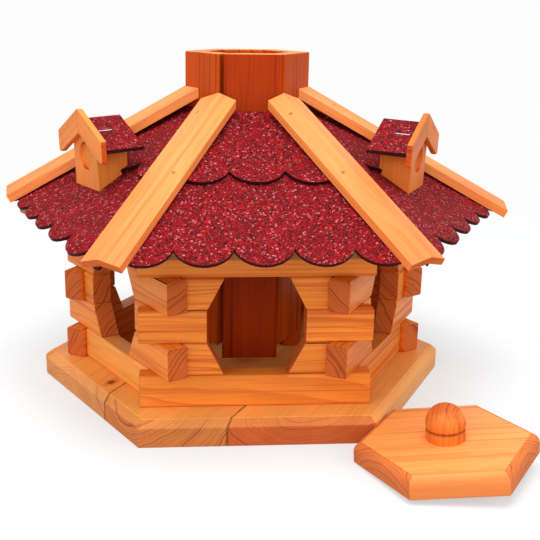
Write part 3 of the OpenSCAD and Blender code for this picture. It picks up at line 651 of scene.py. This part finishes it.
def steelMaterial(name):
    look = steel[name]
    material, tree, shader = newMaterial(name)
    scratch = noise(tree, scaled(tree, boardSpace(tree)[0], steel["scratch"]), detail=3, rough=0.6)
    plug(tree, shader.inputs["Base Color"], mixTone(tree, scratch, look["dull"], look["bright"]))
    plug(tree, shader.inputs["Roughness"], spread(tree, scratch, *steel["seen"], *look["rough"]))
    bump(tree, shader, scratch, steel["bump"], steel["relief"])
    shader.inputs["Metallic"].default_value = 1.0
    return material


brightWire = steelMaterial("brightWire")
dress("dormer_staples", brightWire)
dress("lid_screw", brightWire)
dress("cap_nails", steelMaterial("glazedNail"))

# dormers, each in the space of the foot of its front; pins are so far across and above that foot
dormers = {
    "fall": 28, "edge": 0.0010, "blockSeed": 100, "boardSeed": 110, "seedStep": 5.7,
    "pine": {**glazedPine, "End": tone(214, 80, 24), "Contrast": 0.3, "Streak": 0.3, "Blotch": 0.3},
    "left": {"angle": 210, "foot": (-0.1498, -0.0715, 0.2076), "toneAndShade": {"Light": tone(244, 142, 60)}},
    # the right dormer's darker tone is painted shade, as the light falls from the left
    "right": {"angle": 330, "foot": (0.1533, -0.0735, 0.2053), "toneAndShade": {"Light": tone(226, 122, 46)}},
    "blockPins": [(0.002, 0.0295), (0.007, 0.016)],
    "boardPins": [(0.0245, 0.0561), (0.0142, 0.0509), (-0.020, 0.0530)],
    "pin": {"size": 0.0008, "core": 0.6, "dark": 0.8, "tone": knotTones["core"]}}


# heads of the pins that hold a dormer, as dots on the wood
def addPinDots(material, turn, foot, spots, pin):
    tree = material.node_tree
    shader = findShader(tree)
    x, y, z = split(tree, boardSpace(tree, turn, foot)[0])
    body = shader.inputs["Base Color"].links[0].from_socket
    for spotX, spotZ in spots:
        offset = join(tree, calc(tree, "SUBTRACT", x, spotX), 0.0, calc(tree, "SUBTRACT", z, spotZ))
        dot = spread(tree, length(tree, offset), pin["size"] * pin["core"], pin["size"], pin["dark"], 0.0)
        body = mixTone(tree, dot, body, pin["tone"])
    plug(tree, shader.inputs["Base Color"], body)


for index, name in enumerate(("left", "right")):
    angle, foot = dormers[name]["angle"], dormers[name]["foot"]
    facing = (0, 0, angle + 90)
    look = {**dormers["pine"], **dormers[name]["toneAndShade"]}
    seedShift = dormers["seedStep"] * index
    block = pineMaterial("glazedPine_dormer_" + name, look, (0, -90, angle), seed=dormers["blockSeed"] + seedShift)
    boards = pineMaterial("glazedPine_gable_" + name, look, facing, foot, seed=dormers["boardSeed"] + seedShift,
                          halves=True, fold=dormers["fall"])
    addPinDots(block, facing, foot, dormers["blockPins"], dormers["pin"])
    addPinDots(boards, facing, foot, dormers["boardPins"], dormers["pin"])
    dress("dormer_block_" + name, block, dormers["edge"])
    dress("dormer_front_boards_" + name, boards, dormers["edge"])
    dress("dormer_shingle_" + name, feltMaterial("feltDormer_" + name, facing), felt["edge"], felt["segments"])

# lid, lying tilted on its locating block
lid = {
    "place": (0.1542, -0.2238, 0.0073), "turn": (0, -5.44, -7), "knobTurn": (0, -90, 0),
    "reach": 0.0667, "thick": 0.0185, "foot": 0.0008, "roundReach": 0.0068, "roundHeight": 0.0088, "roundSteps": 8,
    "edge": 0.0009, "segments": 3, "sharp": 25, "locatorEdge": 0.0010,
    "plateSeed": 131.2, "locatorSeed": 133.8, "knobSeed": 137.1,
    "platePine": {"Light": tone(252, 162, 86), "Dark": tone(214, 92, 30), "End": tone(220, 118, 58),
                  "EndLine": tone(158, 66, 28), "Ring": 0.0024, "Contrast": 0.6, "Streak": 0.6, "Blotch": 0.8},
    "knobPine": {**glazedPine, "Light": tone(244, 134, 52), "Ring": 0.0026, "Contrast": 0.8, "Streak": 0.8}}


# the lid's plate with its upper edge routed round
def makeLidPlate(shape):
    profile = [(shape["reach"] - shape["foot"], 0.0), (shape["reach"], shape["foot"])]
    for step in range(shape["roundSteps"] + 1):
        turn = radians(90 * step / shape["roundSteps"])
        profile.append((shape["reach"] - shape["roundReach"] * (1 - cos(turn)),
                        shape["thick"] - shape["roundHeight"] * (1 - sin(turn))))
    stand = Matrix.Translation(shape["place"]) @ Euler([radians(v) for v in shape["turn"]]).to_matrix().to_4x4()
    mesh = bmesh.new()
    rings = []
    for apothem, height in profile:
        radius = apothem / cos(radians(30))
        corners = [Vector((radius * cos(radians(60 * k)), radius * sin(radians(60 * k)), height)) for k in range(6)]
        rings.append([mesh.verts.new(stand @ corner) for corner in corners])
    for low, high in zip(rings, rings[1:]):
        for k in range(6):
            mesh.faces.new((low[k], low[(k + 1) % 6], high[(k + 1) % 6], high[k]))
    mesh.faces.new(rings[-1])
    mesh.faces.new(list(reversed(rings[0])))
    for face in mesh.faces:
        face.smooth = True
    data = bpy.data.meshes.new("lidPlateRouted")
    mesh.to_mesh(data)
    mesh.free()
    data.materials.append(pineMaterial("palePine_lid", shape["platePine"], shape["turn"], shape["place"],
                                       seed=shape["plateSeed"], bands=shape["reach"] - shape["roundReach"]))
    item = newItem("lidPlateRouted", data)
    easeEdges(item, shape["edge"], shape["segments"], shape["sharp"])
    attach(item, "lid")
    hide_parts("lid_plate")


makeLidPlate(lid)
dress("lid_locator", pineMaterial("glazedPine_locator", glazedPine, lid["turn"], lid["place"],
                                  seed=lid["locatorSeed"]), lid["locatorEdge"])
dress("lid_knob", pineMaterial("glazedPine_knob", lid["knobPine"], lid["knobTurn"], lid["place"],
                               seed=lid["knobSeed"]))
print("dormers and lid dressed")

# studio: white paper that keeps the shadow near the feeder and fades into the background
studio = {"world": 0.6, "background": 0.983, "reach": 12.0, "drop": 0.0002, "floorTone": 0.42, "floorLift": 0.50,
          "paper": (0.975, 1.0, 1.02), "fadeStart": 0.45, "fadeEnd": 1.1}
lamps = {
    "leftBox": {"place": (-1.9, -1.3, 1.3), "aim": (0, 0, 0.15), "size": 1.4, "power": 12},
    "rightBox": {"place": (2.0, -1.2, 1.3), "aim": (0, 0, 0.15), "size": 1.4, "power": 12},
    "topBox": {"place": (-0.1, -0.4, 2.0), "aim": (0, 0, 0.1), "size": 1.6, "power": 34},
    "frontBox": {"place": (-0.4, -2.4, 0.7), "aim": (0, 0, 0.12), "size": 1.6, "power": 16}}
white = (1, 1, 1, 1)


def seenMask(tree):
    path = tree.nodes.new("ShaderNodeLightPath").outputs
    first = calc(tree, "MAXIMUM", path["Is Camera Ray"], path["Is Glossy Ray"])
    return calc(tree, "MAXIMUM", first, path["Is Transmission Ray"])


def makeWorld(look):
    world = bpy.data.worlds.new("studioWorld")
    world.use_nodes = True
    tree = world.node_tree
    tree.nodes.clear()
    light, seen = (put(tree, "ShaderNodeBackground", {"Color": white, "Strength": look[key]})
                   for key in ("world", "background"))
    blend = put(tree, "ShaderNodeMixShader", {0: seenMask(tree), 1: light.outputs[0], 2: seen.outputs[0]})
    out = tree.nodes.new("ShaderNodeOutputWorld")
    tree.links.new(blend.outputs[0], out.inputs[0])
    bpy.context.scene.world = world


def makeFloor(look):
    far = look["reach"]
    corners = [(x, y, -look["drop"]) for x, y in ((-far, -far), (far, -far), (far, far), (-far, far))]
    mesh = bpy.data.meshes.new("studioFloor")
    mesh.from_pydata(corners, [], [(0, 1, 2, 3)])
    item = newItem("studioFloor", mesh)
    material = bpy.data.materials.new("studioPaper")
    material.use_nodes = True
    tree = material.node_tree
    tree.nodes.clear()
    seen = seenMask(tree)
    paperTone = tuple(look["floorTone"] * share for share in look["paper"]) + (1,)
    paper = put(tree, "ShaderNodeBsdfDiffuse", {"Color": paperTone})
    lift = calc(tree, "MULTIPLY", seen, look["floorLift"])
    glow = put(tree, "ShaderNodeEmission", {"Color": white, "Strength": lift})
    total = put(tree, "ShaderNodeAddShader", {0: paper.outputs[0], 1: glow.outputs[0]})
    away = length(tree, tree.nodes.new("ShaderNodeTexCoord").outputs["Object"])
    away = spread(tree, away, look["fadeStart"], look["fadeEnd"], smooth=True)
    plain = put(tree, "ShaderNodeEmission", {"Color": white, "Strength": look["background"]})
    share = calc(tree, "MULTIPLY", away, seen)
    faded = put(tree, "ShaderNodeMixShader", {0: share, 1: total.outputs[0], 2: plain.outputs[0]})
    out = tree.nodes.new("ShaderNodeOutputMaterial")
    tree.links.new(faded.outputs[0], out.inputs[0])
    mesh.materials.append(material)


def makeLamp(name, place, aim, size, power):
    data = bpy.data.lights.new(name, "AREA")
    data.shape = "SQUARE"
    data.size = size
    data.energy = power
    item = newItem(name, data)
    item.location = place
    item.rotation_euler = (Vector(aim) - Vector(place)).to_track_quat("-Z", "Y").to_euler()


makeWorld(studio)
makeFloor(studio)
for name, lamp in lamps.items():
    makeLamp(name, **lamp)
print("studio lit")
